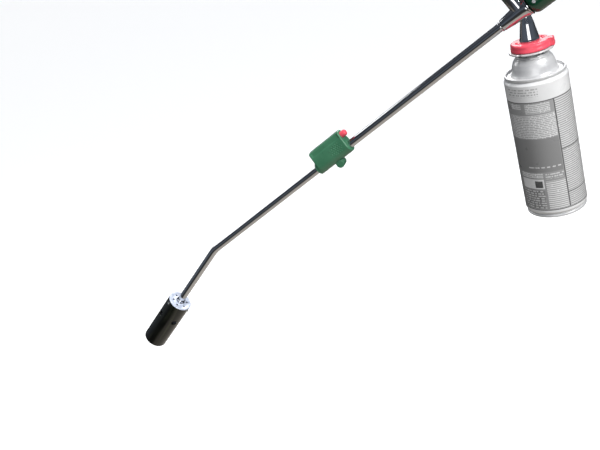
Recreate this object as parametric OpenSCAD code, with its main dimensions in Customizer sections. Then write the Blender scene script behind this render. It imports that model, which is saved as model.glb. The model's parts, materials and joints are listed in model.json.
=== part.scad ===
// Lance-type gas torch: hand grip, needle valve, valve-collar cartridge, push igniter, cup burner.
// +Z is up and +X points from the grip to the burner. Y = 0 is the plane of symmetry.
// The origin is the middle of the hand grip. Everything on the lance is placed by its distance
// from the valve centre, where the lance's axis meets the cartridge's axis.

/* [Layout] */
// Slope of the lance below horizontal, in degrees
lance_slope = 28; // [24:1:32]
// Extra bend of the burner leg, in degrees
bend_angle = 14.4; // [8:0.2:24]
// Radius of the bend's centre line
bend_radius = 50; // [40:1:70]
// From the middle of the grip to the valve centre
grip_to_valve = 70; // [66:1:74]
// From the valve centre to the corner of the bend
valve_to_bend = 494; // [400:1:600]
// From the corner of the bend to the burner plate
bend_to_plate = 107; // [80:1:160]

/* [Lance] */
// Outer diameter of the lance
lance_d = 9.5; // [9.5:0.5:9.5]
// Wall of the lance
lance_wall = 0.75; // [0.6:0.05:0.8]
// Outer diameter of the gas pipe inside the lance
pipe_d = 4; // [4:0.5:4]
// Diameter of the ignition lead
lead_d = 1.6; // [1.4:0.1:1.6]
// Height of the lead's axis above the lance's axis
lead_offset = 3; // [3:0.1:3]

/* [Grip] */
// Smallest radius of the hand grip
grip_r = 12.6; // [12:0.1:14]
// Swell of the hand grip over its smallest radius
grip_swell = 2; // [1:0.1:3]
// Radius of the hanging hole
eye_r = 4; // [3:0.5:5]

/* [Cartridge] */
// Outer diameter of the cartridge's body
can_d = 66; // [66:1:66]
// Height of the cartridge from seam to seam
can_h = 157.5; // [120:0.5:180]
// Thickness of the cartridge's sheet steel
can_wall = 0.45; // [0.4:0.05:0.6]

/* [Igniter] */
// Where the igniter's housing starts
box_start = 246; // [230:1:260]
// Length of the igniter's housing
box_len = 48; // [46:1:52]
// Thickness of the igniter's housing
box_w = 19; // [18:0.5:21]
// Top of the housing above the lance's axis
box_top = 22.6; // [22:0.2:24]
// Wall of the housing
box_wall = 2; // [1.6:0.1:2]

/* [Burner] */
// Outer diameter of the burner cup
cup_d = 32; // [32:1:34]
// Length of the burner cup
cup_len = 84; // [70:1:100]
// Wall of the burner cup
cup_wall = 1.2; // [1:0.1:1.4]
// Diameter of the air holes in the cup
air_hole_d = 8; // [6:0.5:9]
// Distance of the air holes from the burner plate
air_hole_q = 30; // [26:1:32]

/* [Hidden] */
$fn = 48;

// Finish colours
chrome_c = [0.8, 0.82, 0.84];
brass_c = [0.8, 0.66, 0.32];
steel_c = [0.62, 0.63, 0.65];
zinc_c = [0.78, 0.82, 0.9];
dark_green_c = [0.02, 0.24, 0.14];
box_green_c = [0.16, 0.42, 0.28];
red_c = [0.86, 0.2, 0.24];
black_c = [0.09, 0.09, 0.09];
rubber_c = [0.12, 0.12, 0.13];
white_c = [0.9, 0.9, 0.88];
ceramic_c = [0.93, 0.91, 0.86];
can_c = [0.72, 0.73, 0.73];

// Clearances: between fixed fits, between turning fits, and between separate bodies
fit_gap = 0.03;
run_gap = 0.06;
// How far the straight runs of a bent tube reach into its arc, and how much thicker the arc's wall is
lap = 0.5;
bend_extra = 0.02;

lance_r = lance_d / 2;
lance_bore_r = lance_r - lance_wall;
pipe_r = pipe_d / 2;
lead_r = lead_d / 2;
can_r = can_d / 2;
cup_r = cup_d / 2;

// Where the bend's arc starts, and how much of the leg the arc's second half takes up
bend_start = valve_to_bend - bend_radius * tan(bend_angle / 2);
leg_rest = bend_to_plate - bend_radius * tan(bend_angle / 2);

// Valve centre and the cartridge's top seam
valve_x = grip_to_valve * cos(lance_slope);
valve_z = -grip_to_valve * sin(lance_slope);
valve_to_seam = 65;
seam_r = 31.8;

// The valve's own places along the lance
body_rear = -4;
body_front = 28;
stem_s = 4;
stem_bore_r = 3.2;
gland_seat_r = 5;
spindle_r = 3;
stem_top = 24;
tang_r = 4;
spigot_r = 6;
tang_end = -122;
grip_start = -6;
grip_end = -126;

// Neck and locking ring, as heights above the cartridge's top seam
journal_r = 9;
neck_journal = 28;
neck_shoulder = 32;
neck_top = 60;
passage_r = 2;
neck_thread_r = 6;
ring_low = 23.6;
ring_top = 31.8;
head_low = 24.4;
head_top = 27.9;

// Igniter parts: the button's axis above the lance, and places along it
button_h = 15;
button_r = 3.9;
button_out = 6.5;
flange_s = box_start + box_wall + 0.2;
plunger_r = 3;
piezo_s = box_start + 11;
piezo_len = 27;
piezo_w = 9;
post_h = 7.6;
post_in = 6;
lug_s = 24;
lug_h = -10.5;
lug_r = 5;
screw_r = 1.1;
lead_drop_s = 289.2;

// Burner parts, as distances along the leg from the burner plate's rear face
plate_t = 1.5;
skirt_len = 10;
rivet_q = 6;
lance_out = 6;
holder_q = 11;
disc_q = 40;
electrode_h = 8;

// ---------------------------------------------------------------- frames
// A frame on the lance: local X runs along the lance, local Z is square to it and upward
module on_lance(s, h = 0) {
    rotate([0, lance_slope, 0]) translate([grip_to_valve + s, 0, h]) children();
}

// The same frame on the burner leg, q being the distance from the burner plate's rear face
module on_leg(q, h = 0) {
    on_lance(bend_start, -bend_radius) rotate([0, bend_angle, 0])
        translate([leg_rest + q, 0, bend_radius + h]) children();
}

// A frame on the cartridge's axis, h being the height above its top seam
module on_can(h) {
    translate([valve_x, 0, valve_z - valve_to_seam + h]) children();
}

// Turns the local Z axis onto the local X axis
module along() {
    rotate([0, 90, 0]) children();
}

// Turns the local Z axis onto the local Y axis, starting at y
module across(y = 0) {
    translate([0, y, 0]) rotate([-90, 0, 0]) children();
}

// ---------------------------------------------------------------- basic forms
module rod(r, len) {
    along() cylinder(r = r, h = len);
}

module pipe(r_out, r_in, len) {
    along() difference() {
        cylinder(r = r_out, h = len);
        translate([0, 0, -1]) cylinder(r = r_in, h = len + 2);
    }
}

// A solid of revolution along the local X axis from [radius, distance] points
module turned(points) {
    along() rotate_extrude() polygon(points);
}

// A round tube that follows the lance's line from s, through the bend, to q on the leg.
// The bend's wall is a hair thicker than the straight runs, which reach into it, so they join.
module bent_tube(r_out, r_in, s, q) {
    on_lance(s) pipe(r_out, r_in, bend_start + lap - s);
    on_lance(bend_start, -bend_radius) rotate([0, -90, -90])
        rotate_extrude(angle = bend_angle) translate([bend_radius, 0]) difference() {
            circle(r = r_out + bend_extra);
            circle(r = r_in - bend_extra);
        }
    on_leg(-leg_rest - lap) pipe(r_out, r_in, leg_rest + lap + q);
}

// A place on the leg as [x, z] in the lance's own frame
function leg_place(q, h) = [
    bend_start + (leg_rest + q) * cos(bend_angle) + (bend_radius + h) * sin(bend_angle),
    (bend_radius + h) * cos(bend_angle) - (leg_rest + q) * sin(bend_angle) - bend_radius];

// A round bar swept along [x, z] places of the lance's frame, as one closed polyhedron
module swept_bar(places, r) {
    sides = 8;
    last = len(places) - 1;
    function heading(i) = places[min(i + 1, last)] - places[max(i - 1, 0)];
    function ring_point(i, k) =
        let (d = heading(i) / norm(heading(i)), a = 360 * k / sides)
        [places[i][0] - d[1] * r * cos(a), r * sin(a), places[i][1] + d[0] * r * cos(a)];
    skin = [for (i = [0:last - 1], k = [0:sides - 1])
        [i * sides + k, (i + 1) * sides + k, (i + 1) * sides + (k + 1) % sides,
         i * sides + (k + 1) % sides]];
    ends = [[for (k = [0:sides - 1]) k], [for (k = [sides - 1:-1:0]) last * sides + k]];
    on_lance(0) polyhedron(
        points = [for (i = [0:last], k = [0:sides - 1]) ring_point(i, k)],
        faces = concat(ends, skin), convexity = 10);
}

// A hexagonal prism along local X, measured across its flats
module hex_bar(flats, len) {
    along() rotate([0, 0, 30]) cylinder(r = flats / sqrt(3), h = len, $fn = 6);
}

// A compression spring along local Z, its wire swept round as one closed polyhedron
module coil_spring(mid_r, wire_r, len, turns) {
    sides = 6;
    steps = turns * 14;
    function at_wire(i, k) =
        let (a = 360 * turns * i / steps, b = 360 * k / sides,
             r = mid_r + wire_r * cos(b), z = wire_r + (len - 2 * wire_r) * i / steps + wire_r * sin(b))
        [r * cos(a), r * sin(a), z];
    points = [for (i = [0:steps], k = [0:sides - 1]) at_wire(i, k)];
    skin = [for (i = [0:steps - 1], k = [0:sides - 1])
        [i * sides + k, i * sides + (k + 1) % sides,
         (i + 1) * sides + (k + 1) % sides, (i + 1) * sides + k]];
    ends = [[for (k = [sides - 1:-1:0]) k], [for (k = [0:sides - 1]) steps * sides + k]];
    polyhedron(points = points, faces = concat(ends, skin), convexity = 10);
}

// ---------------------------------------------------------------- lance
module lance_tube() {
    color(chrome_c) difference() {
        bent_tube(lance_r, lance_bore_r, body_front - 14, lance_out);
        on_lance(lead_drop_s, 0) cylinder(r = 1.6, h = 8);
    }
}

// The thin ring that closes the joint in front of the valve body
module lance_nut() {
    color(chrome_c) on_lance(body_front + 0.1)
        turned([[lance_r + fit_gap, 0], [5.6, 0], [5.7, 0.5], [5.5, 1.8], [lance_r + fit_gap, 2]]);
}

module gas_pipe() {
    color(brass_c) bent_tube(pipe_r, pipe_r - 0.6, 12, holder_q + 4);
}

// From the piezo unit's terminal down into the lance, then inside it to the electrode
module ignition_lead() {
    drop = lead_drop_s;
    start = piezo_s + piezo_len + 2.05;
    bend = [for (a = [0:bend_angle / 4:bend_angle]) leg_place(-leg_rest, lead_offset)
        - (bend_radius + lead_offset) * [sin(bend_angle) - sin(a), cos(bend_angle) - cos(a)]];
    color(rubber_c) swept_bar(concat(
        [[start, button_h], [drop - 2, button_h - 0.2], [drop - 0.9, button_h - 1.2],
         [drop - 0.5, button_h - 3], [drop - 0.4, lead_offset + 3], [drop + 0.2, lead_offset + 1],
         [drop + 1.6, lead_offset + 0.1], [drop + 3.5, lead_offset]],
        bend,
        [for (p = [[lance_out - 0.5, lead_offset], [lance_out + 1, lead_offset + 0.6],
            [holder_q - 0.6, electrode_h - 0.7], [holder_q + 0.8, electrode_h],
            [holder_q + 2.8, electrode_h]]) leg_place(p[0], p[1])]), lead_r);
}

// ---------------------------------------------------------------- valve
// The neck's outer form above its shoulder, grown by a gap where it is cut out of the valve body
module neck_form(gap = 0) {
    rotate_extrude() polygon([
        [0, neck_shoulder], [10.1 + gap, neck_shoulder], [10.2 + gap, neck_shoulder + 1],
        [9.7 + gap, 35], [9.1 + gap, 38.5], [7 + gap, 50], [5.3 + gap, 57],
        [5 + gap, neck_top], [0, neck_top]]);
}

module valve_body() {
    color(chrome_c) difference() {
        union() {
            on_lance(0) turned([
                [0, body_rear], [9.2, body_rear], [9.6, body_rear + 0.8], [9.4, 1],
                [6.1, body_front - 0.6], [5.6, body_front], [0, body_front]]);
            on_lance(body_rear - 12) rod(spigot_r, 13);
            on_lance(stem_s) cylinder(r = 8, h = stem_top);
        }
        on_lance(stem_s, -1.5) cylinder(r = stem_bore_r, h = stem_top);
        on_lance(stem_s, 14) cylinder(r = gland_seat_r + fit_gap, h = 12);
        on_lance(stem_s, -7) cylinder(r = 1, h = 8);
        on_lance(stem_s) rod(1.5, 9);
        on_lance(12) rod(pipe_r + fit_gap, 6);
        on_lance(body_front - 14) rod(lance_r + fit_gap, 20);
        on_lance(body_rear - 13) rod(tang_r + fit_gap, 10);
        on_lance(grip_start - 7.5) rotate([-83, 0, 0]) cylinder(r = 1.25, h = 8);
        on_can(0) neck_form(fit_gap);
    }
}

module inlet_neck() {
    color(chrome_c) on_can(0) difference() {
        union() {
            neck_form();
            translate([0, 0, neck_journal]) cylinder(r = journal_r, h = 5);
            translate([0, 0, 24.7]) cylinder(r = neck_thread_r, h = 5);
        }
        translate([0, 0, 20]) cylinder(r = passage_r, h = 50);
        translate([0, 0, 54]) cylinder(r = stem_bore_r, h = 10);
    }
}

// The head screwed onto the neck from below: it traps the locking ring and meets the cartridge
module neck_head() {
    color(brass_c) on_can(0) difference() {
        rotate_extrude() polygon([
            [0, 21.6], [6.5, 21.6], [6.5, head_low], [15.2, head_low], [15.6, head_low + 0.4],
            [15.6, head_top], [0, head_top]]);
        translate([0, 0, 24.6]) cylinder(r = neck_thread_r + fit_gap, h = 5);
        translate([0, 0, 20]) cylinder(r = 2.6, h = 6);
        translate([0, 0, 20.6]) cylinder(r = 5.2, h = 2.4);
    }
}

module inlet_gasket() {
    color(rubber_c) on_can(20.6) difference() {
        cylinder(r = 5.2 - fit_gap, h = 2.37);
        translate([0, 0, -1]) cylinder(r = 2.6, h = 5);
    }
}

// The tube that pushes the cartridge's stem open
module inlet_pin() {
    color(brass_c) on_can(24.1) difference() {
        cylinder(r = passage_r - fit_gap, h = 6);
        translate([0, 0, -1]) cylinder(r = 0.8, h = 8);
        translate([0, 0, -1]) rotate([-90, 0, 0]) cylinder(r = 1.3, h = 6, center = true);
    }
}

module gas_filter() {
    color(brass_c) on_can(54.05) cylinder(r = stem_bore_r - fit_gap, h = 2.5);
}

module gland_nut() {
    color(brass_c) on_lance(stem_s) difference() {
        union() {
            translate([0, 0, 16.3]) cylinder(r = gland_seat_r, h = 9);
            translate([0, 0, stem_top]) cylinder(r = 13 / sqrt(3), h = 5, $fn = 6);
        }
        translate([0, 0, 10]) cylinder(r = spindle_r + run_gap, h = 30);
    }
}

module spindle_seal() {
    color(rubber_c) on_lance(stem_s, 15.1)
        rotate_extrude() translate([(spindle_r + gland_seat_r) / 2, 0]) circle(r = 0.9);
}

// ---------------------------------------------------------------- regulator
module regulator_knob() {
    color(red_c) on_lance(stem_s) difference() {
        rotate_extrude() polygon([
            [0, 31], [12.5, 31], [14.5, 32.5], [15, 35], [15, 46], [14.3, 48.6], [12.5, 50], [0, 50]]);
        for (i = [0:11]) rotate([0, 0, i * 30 + 15])
            translate([16.4, 0, 30]) cylinder(r = 2.6, h = 21);
        translate([0, 0, 30]) cylinder(r = spindle_r + fit_gap, h = 13.5);
        translate([0, 0, 40]) cylinder(r = 1.3, h = 8);
        translate([0, 0, 45.5]) cylinder(r = 5.5, h = 5);
        translate([0, 0, 20]) difference() {
            cylinder(r = 12, h = 21);
            translate([0, 0, -1]) cylinder(r = 5.5, h = 24);
        }
    }
}

module knob_cap() {
    color(black_c) on_lance(stem_s, 48.4) cylinder(r = 5.5 - fit_gap, h = 1.8);
}

module knob_screw() {
    color(steel_c) on_lance(stem_s) difference() {
        union() {
            translate([0, 0, 38]) cylinder(r = 1.25, h = 8);
            translate([0, 0, 45.55]) cylinder(r = 3, h = 2.2);
        }
        translate([0, 0, 47]) cube([0.8, 8, 2], center = true);
    }
}

module valve_spindle() {
    color(brass_c) on_lance(stem_s) difference() {
        translate([0, 0, 5.2]) cylinder(r = spindle_r, h = 38);
        translate([0, 0, 4]) cylinder(r = 1.3, h = 7);
        translate([0, 0, 37]) cylinder(r = 1.27, h = 8);
    }
}

// The needle hangs in the spindle's end and closes the orifice below it
module valve_needle() {
    color(steel_c) on_lance(stem_s) {
        rotate_extrude() polygon([
            [0, -3.2], [0.3, -3.2], [0.9, -1.2], [2.4, -1.2], [2.4, 3.4], [1.2, 3.4], [1.2, 8.4], [0, 8.4]]);
    }
}

// ---------------------------------------------------------------- locking ring
module locking_ring() {
    color(red_c) on_can(0) difference() {
        union() {
            rotate_extrude() polygon([
                [0, ring_low], [20.3, ring_low], [20.6, ring_low + 0.4], [20.1, 29.8],
                [19.6, 31], [18.6, 31.6], [17, ring_top], [0, ring_top]]);
            translate([-24, -5.5, ring_low]) cube([6, 11, 8.2]);
        }
        translate([0, 0, ring_low - 1]) cylinder(r = 17, h = 29.1 - ring_low);
        translate([0, 0, ring_low]) cylinder(r = journal_r + run_gap, h = 12);
    }
}

// ---------------------------------------------------------------- hand grip
module grip_collar() {
    color(chrome_c) on_lance(grip_start)
        turned([[spigot_r + fit_gap, 0.05], [9.6, 0.05], [10.2, 0.5], [10.2, 1.5], [9.8, 1.95],
                [spigot_r + fit_gap, 1.95]]);
}

// Radius of the grip at a share of its length from its front end
function grip_at(t) = grip_r + grip_swell * pow(sin(180 * t), 2) + 0.9 * pow(t, 4);

module hand_grip() {
    len = grip_start - grip_end;
    steps = 16;
    swell = [for (i = [1:steps]) [grip_at(i / steps), grip_start - 6 - (len - 6) * i / steps]];
    color(dark_green_c) difference() {
        on_lance(0) turned(concat(
            [[0, grip_start], [8.7, grip_start], [10.4, grip_start - 1.4], [11.7, grip_start - 3.4],
             [grip_at(0), grip_start - 6]],
            swell, [[0, grip_end]]));
        on_lance(body_rear - 12.2) rod(spigot_r + fit_gap, 13);
        on_lance(grip_end - 1) rod(tang_r + fit_gap, 120);
        on_lance(grip_start - 7.5) rotate([-83, 0, 0]) cylinder(r = 1.8, h = 16);
    }
}

module grip_tang() {
    color(steel_c) on_lance(tang_end) rod(tang_r, body_rear - 3.2 - tang_end);
}

// The screw that keys the grip to the valve body, set in the grip's flank
module grip_screw() {
    color(steel_c) on_lance(grip_start - 7.5) rotate([-83, 0, 0]) difference() {
        union() {
            translate([0, 0, 4.6]) cylinder(r = 1.2, h = 5);
            translate([0, 0, 9]) cylinder(r = 1.75, h = 2.6);
        }
        translate([0, 0, 11.4]) cube([4, 0.6, 1.4], center = true);
    }
}

module grip_end_cap() {
    eye_s = grip_end - 12;
    color(black_c) difference() {
        union() {
            on_lance(grip_end) turned([
                [0, 0], [grip_at(1) - 0.2, 0], [grip_at(1) - 0.2, -1.5], [grip_at(1) - 2.5, -4], [0, -4.6]]);
            on_lance(eye_s) across(-4) cylinder(r = 9, h = 8);
            on_lance(eye_s) translate([0, -4, -9]) cube([10, 8, 18]);
            on_lance(grip_end) rod(tang_r, 2.5);
        }
        on_lance(eye_s) across(-6) cylinder(r = eye_r, h = 12);
    }
}

// ---------------------------------------------------------------- cartridge
module cartridge_body() {
    w = can_wall;
    low = -can_h;
    color(can_c) on_can(0) rotate_extrude() polygon([
        [30.6, -2.9], [30.6, -3.6], [can_r, -6.2], [can_r, low + 5.4], [30.6, low + 3.6], [30.6, low + 2.9],
        [30.6 - w, low + 2.9], [30.6 - w, low + 3.9], [can_r - w, low + 5.7], [can_r - w, -6.5],
        [30.6 - w, -3.9], [30.6 - w, -2.9]]);
}

// The domed top with the seam's bead at its rim, and the groove inside the bead
module cartridge_top() {
    w = can_wall;
    color(can_c) on_can(0) rotate_extrude() polygon([
        [15.4, 18.6], [16.3, 18.6], [17.1, 17.6], [17.3, 16.2], [18.3, 15], [19.8, 13.3], [21, 11.1],
        [22, 8], [22.7, 4], [23.1, 1.2], [24.6, -1.2], [26, -2.2], [28.4, -2.2], [29.4, -1.4],
        [29.8, -0.2], [30.3, 0.1], [31.3, 0.1], [seam_r, -0.4], [seam_r, -2.8], [29, -2.8],
        [28.2, -2.2 - w], [25.8, -2.2 - w], [24.2, -1.5], [22.6, 1.1], [22.2, 3.9], [21.5, 7.8],
        [20.6, 10.8], [19.4, 12.9], [18, 14.5], [16.9, 15.9], [16.6, 17.3], [15.9, 18.1], [15.4, 18.1]]);
}

// The inward dome under the cartridge, with the seam that it stands on
module cartridge_base() {
    w = can_wall + 0.15;
    low = -can_h;
    color(can_c) on_can(0) rotate_extrude() polygon([
        [0, low + 9], [12, low + 8], [22, low + 5], [28.4, low + 1.9], [29.4, low + 0.4], [29.9, low],
        [31.3, low], [seam_r, low + 0.5], [seam_r, low + 2.8], [29.4, low + 2.8], [28.7, low + 2.8],
        [22.2, low + 5 + w], [12.1, low + 8 + w], [0, low + 9 + w]]);
}

// The cup crimped into the dome's mouth, with the pedestal that holds the valve
module cartridge_valve_cup() {
    color(steel_c) on_can(0) rotate_extrude() polygon([
        [14.5, 18.7], [15.3, 18.65], [16.6, 18.7], [17.3, 19.2], [17.3, 19.9], [16.8, 20.4], [14.3, 20.4],
        [13.7, 19.8], [13.7, 12.5], [13, 11.8], [8, 11.8], [7.2, 12.4], [6.3, 19.6], [5.8, 20], [2.4, 20],
        [2.4, 19.2], [5.4, 19.2], [5.6, 12.2], [6.4, 11.2], [13.6, 11.2], [14.5, 12.2]]);
}

// The collar flange that the torch's ring bears on, with its locating notch
module cartridge_flange() {
    color(steel_c) on_can(0) difference() {
        rotate_extrude() polygon([
            [14.6, 20.5], [17.8, 20.5], [19, 22.4], [22.2, 22.5], [22.3, 21.6], [22.7, 21.6], [22.8, 22.9],
            [22.4, 23.3], [18.6, 23.1], [17.4, 21.2], [14.6, 21.2]]);
        rotate([0, 0, 62]) translate([20.2, -2.2, 20]) cube([5, 4.4, 5]);
    }
}

module cartridge_stem() {
    color(white_c) on_can(0) difference() {
        union() {
            translate([0, 0, 13]) cylinder(r = 2, h = 10.7);
            translate([0, 0, 15.4]) cylinder(r = 3.2, h = 2);
        }
        translate([0, 0, 17.6]) cylinder(r = 0.7, h = 7);
    }
}

module cartridge_stem_seal() {
    color(rubber_c) on_can(17.75) difference() {
        cylinder(r = 5.2, h = 1.3);
        translate([0, 0, -1]) cylinder(r = 2.05, h = 4);
    }
}

module cartridge_stem_spring() {
    color(steel_c) on_can(5.3) coil_spring(2.7, 0.35, 9.9, 6);
}

module cartridge_valve_housing() {
    color(white_c) on_can(0) difference() {
        translate([0, 0, 4]) cylinder(r = 5.2, h = 13.6);
        translate([0, 0, 5.2]) cylinder(r = 3.6, h = 14);
        translate([0, 0, 3]) cylinder(r = 1, h = 4);
    }
}

// ---------------------------------------------------------------- igniter
// The housing's cross-section: round under the lance, flat-sided above, moved in by a margin
module box_section(margin = 0) {
    half = box_w / 2 - margin;
    corner = 3 - margin / 2;
    top = box_top - margin;
    translate([0, 1.5]) circle(r = half);
    translate([-half, 1.5]) square([2 * half, top - corner - 1.5]);
    translate([-half + corner, 1.5]) square([2 * (half - corner), top - 1.5]);
    for (side = [-1, 1]) translate([side * (half - corner), top - corner]) circle(r = corner);
}

module box_run(from, len, margin = 0) {
    on_lance(from) rotate([90, 0, 90]) linear_extrude(height = len) box_section(margin);
}

// The whole housing before it is parted down the middle
module box_whole() {
    difference() {
        union() {
            box_run(box_start, box_len);
            on_lance(box_start + box_len - 1) rod(8, 4.5);
            on_lance(box_start + lug_s, lug_h) across(-6) cylinder(r = lug_r, h = 12);
            on_lance(box_start + lug_s) translate([-lug_r, -6, lug_h]) cube([2 * lug_r, 12, 4]);
        }
        difference() {
            box_run(box_start + box_wall, box_len - 2 * box_wall, box_wall);
            for (s = [box_start + 14, box_start + box_len - 12])
                on_lance(s) translate([0, -box_w / 2, -9]) cube([1.6, box_w, 13]);
            for (s = [box_start + post_in, box_start + box_len - 17])
                on_lance(s, post_h) across(-box_w / 2) cylinder(r = 2.4, h = box_w);
        }
        on_lance(box_start - 1) rod(lance_r + fit_gap, box_len + 6);
        on_lance(box_start - 1, button_h) rod(button_r + 0.3, box_wall + 2);
    }
}

// Half of the space, on the side of the given sign, leaving a fine parting line
module half_space(side) {
    on_lance(box_start - 5, 0) translate([0, side > 0 ? 0.03 : -30.03, -30]) cube([box_len + 12, 30, 70]);
}

// The places of the housing's screws, along and above the lance
function screw_places() = [
    [box_start + lug_s, lug_h], [box_start + post_in, post_h], [box_start + box_len - 17, post_h]];

module igniter_shell_left() {
    color(box_green_c) difference() {
        intersection() {
            box_whole();
            half_space(1);
        }
        for (p = screw_places()) on_lance(p[0], p[1]) across(-1) cylinder(r = screw_r, h = 6);
    }
}

module igniter_shell_right() {
    color(box_green_c) difference() {
        intersection() {
            box_whole();
            half_space(-1);
        }
        for (p = screw_places()) on_lance(p[0], p[1]) {
            across(-12) cylinder(r = screw_r + 0.1, h = 14);
            across(-12) cylinder(r = 2.1, h = 7);
        }
    }
}

module igniter_screws() {
    color(steel_c) for (p = screw_places()) on_lance(p[0], p[1]) difference() {
        union() {
            across(-5.2) cylinder(r = screw_r - 0.02, h = 9);
            across(-5) mirror([0, 0, 1]) cylinder(r = 1.9, h = 1.4);
        }
        translate([0, -6.3, 0]) cube([2.4, 1, 0.5], center = true);
        translate([0, -6.3, 0]) cube([0.5, 1, 2.4], center = true);
    }
}

module igniter_button() {
    color(red_c) on_lance(0, button_h) turned([
        [0, box_start - button_out], [2.4, box_start - button_out], [3.5, box_start - button_out + 0.5],
        [button_r, box_start - button_out + 1.6], [button_r, flange_s], [5, flange_s], [5, flange_s + 1.2],
        [0, flange_s + 1.2]]);
}

module button_spring() {
    len = piezo_s - flange_s - 1.4;
    color(steel_c) on_lance(flange_s + 1.3, button_h) along() coil_spring(4.1, 0.3, len, 5);
}

module piezo_case() {
    color(black_c) on_lance(piezo_s) difference() {
        translate([0, -piezo_w / 2, button_h - piezo_w / 2]) cube([piezo_len, piezo_w, piezo_w]);
        translate([-1, 0, button_h]) rod(plunger_r + 0.08, 14.5);
        translate([14.5, 0, button_h]) rod(plunger_r + fit_gap, piezo_len - 15.3);
        translate([piezo_len - 2, 0, button_h]) rod(1.2 + fit_gap, 4);
    }
}

module piezo_plunger() {
    color(white_c) on_lance(flange_s + 1.2, button_h) rod(plunger_r, piezo_s + 7.5 - flange_s - 1.2);
}

module piezo_crystal() {
    color(ceramic_c) on_lance(piezo_s + 15, button_h) rod(plunger_r, piezo_len - 16.8);
}

module piezo_terminal() {
    color(brass_c) on_lance(piezo_s + piezo_len - 1.8, button_h) rod(1.2, 3.8);
}

// ---------------------------------------------------------------- burner
// Turns round the leg's axis to each of a number of places
module round_leg(count, first) {
    for (i = [0:count - 1]) rotate([-first - i * 360 / count, 0, 0]) children();
}

module burner_cup() {
    color(black_c) on_leg(0) difference() {
        translate([plate_t + 0.05, 0, 0]) rod(cup_r, cup_len - plate_t - 0.05);
        translate([-1, 0, 0]) rod(cup_r - cup_wall, cup_len + 2);
        translate([air_hole_q, 0, 0]) round_leg(4, 42) cylinder(r = air_hole_d / 2, h = 20);
        translate([rivet_q, 0, 0]) round_leg(3, 48) cylinder(r = 1.3 + fit_gap, h = 20);
    }
}

// The pressed plate that closes the cup's rear end, its skirt riveted inside the cup
module burner_plate() {
    skirt_r = cup_r - cup_wall - 0.05;
    color(zinc_c) on_leg(0) difference() {
        turned([
            [0, 0], [cup_r - 0.5, 0], [cup_r - 0.1, 0.4], [cup_r - 0.1, plate_t], [skirt_r, plate_t],
            [skirt_r, skirt_len], [skirt_r - 0.8, skirt_len], [skirt_r - 0.8, plate_t], [0, plate_t]]);
        translate([-1, 0, 0]) rod(lance_r + fit_gap, 5);
        translate([-1, 0, 0]) round_leg(6, 30) translate([0, 0, 9.8]) rod(1.6, 5);
        translate([rivet_q, 0, 0]) round_leg(3, 48) cylinder(r = 1.3 + fit_gap, h = 20);
    }
}

module burner_nut() {
    color(chrome_c) on_leg(-4.05) difference() {
        union() {
            hex_bar(11, 4);
            rod(6.2, 1);
        }
        translate([-1, 0, 0]) rod(lance_r + fit_gap, 6);
    }
}

module burner_lock_nut() {
    color(steel_c) on_leg(plate_t + 0.05) difference() {
        hex_bar(13, 3);
        translate([-1, 0, 0]) rod(lance_r + fit_gap, 6);
    }
}

module burner_rivets() {
    color(steel_c) on_leg(rivet_q) round_leg(3, 48) {
        translate([0, 0, cup_r - 2.6]) cylinder(r = 1.3, h = 2.8);
        intersection() {
            translate([0, 0, cup_r - 1.4]) sphere(r = 2.6);
            translate([0, 0, cup_r + 0.06]) cylinder(r = 4, h = 4);
        }
    }
}

module jet_holder() {
    color(brass_c) on_leg(holder_q) difference() {
        union() {
            rod(4.6, 10);
            translate([3, 0, 0]) hex_bar(10, 4);
        }
        translate([-1, 0, 0]) rod(pipe_r + fit_gap, 5.2);
        translate([3, 0, 0]) rod(1.2, 4);
        translate([6, 0, 0]) rod(2.5 + fit_gap, 6);
    }
}

module gas_jet() {
    color(brass_c) on_leg(holder_q + 6.05) difference() {
        union() {
            rod(2.5, 6);
            translate([4, 0, 0]) hex_bar(7, 3);
        }
        translate([-1, 0, 0]) rod(1.2, 6.4);
        translate([5, 0, 0]) rod(0.3, 4);
    }
}

// The perforated disc that keeps the flame in the cup
module flame_holder() {
    color(steel_c) on_leg(disc_q) difference() {
        union() {
            rod(cup_r - cup_wall - 0.03, 1);
            pipe(cup_r - cup_wall - 0.03, cup_r - cup_wall - 0.9, 6);
        }
        translate([-1, 0, 0]) rod(3.5, 4);
        translate([-1, 0, 0]) round_leg(8, 22.5) translate([0, 0, electrode_h]) rod(1.7, 4);
        translate([-1, 0, 0]) round_leg(12, 15) translate([0, 0, 11.8]) rod(1, 4);
        translate([-1, 0, electrode_h]) rod(2.2, 4);
    }
}

module electrode_insulator() {
    color(ceramic_c) on_leg(holder_q + 1, electrode_h) difference() {
        rod(1.7, 24);
        translate([-1, 0, 0]) rod(lead_r + 0.05, 3.2);
        translate([1, 0, 0]) rod(0.6 + fit_gap, 26);
    }
}

// The spark wire, with its tip turned in towards the middle of the disc
module electrode() {
    color(steel_c) on_leg(0, electrode_h) {
        translate([holder_q + 3.3, 0, 0]) rod(0.6, 29.7);
        translate([holder_q + 33, 0, 0]) sphere(r = 0.6);
        translate([holder_q + 33, 0, 0]) rotate([0, 145, 0]) cylinder(r = 0.6, h = 3);
    }
}

lance_tube();
lance_nut();
gas_pipe();
ignition_lead();
valve_body();
inlet_neck();
neck_head();
inlet_gasket();
inlet_pin();
gas_filter();
gland_nut();
spindle_seal();
regulator_knob();
knob_cap();
knob_screw();
valve_spindle();
valve_needle();
locking_ring();
grip_collar();
hand_grip();
grip_tang();
grip_screw();
grip_end_cap();
cartridge_body();
cartridge_top();
cartridge_base();
cartridge_valve_cup();
cartridge_flange();
cartridge_stem();
cartridge_stem_seal();
cartridge_stem_spring();
cartridge_valve_housing();
igniter_shell_left();
igniter_shell_right();
igniter_screws();
igniter_button();
button_spring();
piezo_case();
piezo_plunger();
piezo_crystal();
piezo_terminal();
burner_cup();
burner_plate();
burner_nut();
burner_lock_nut();
burner_rivets();
jet_holder();
gas_jet();
flame_holder();
electrode();
electrode_insulator();
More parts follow.
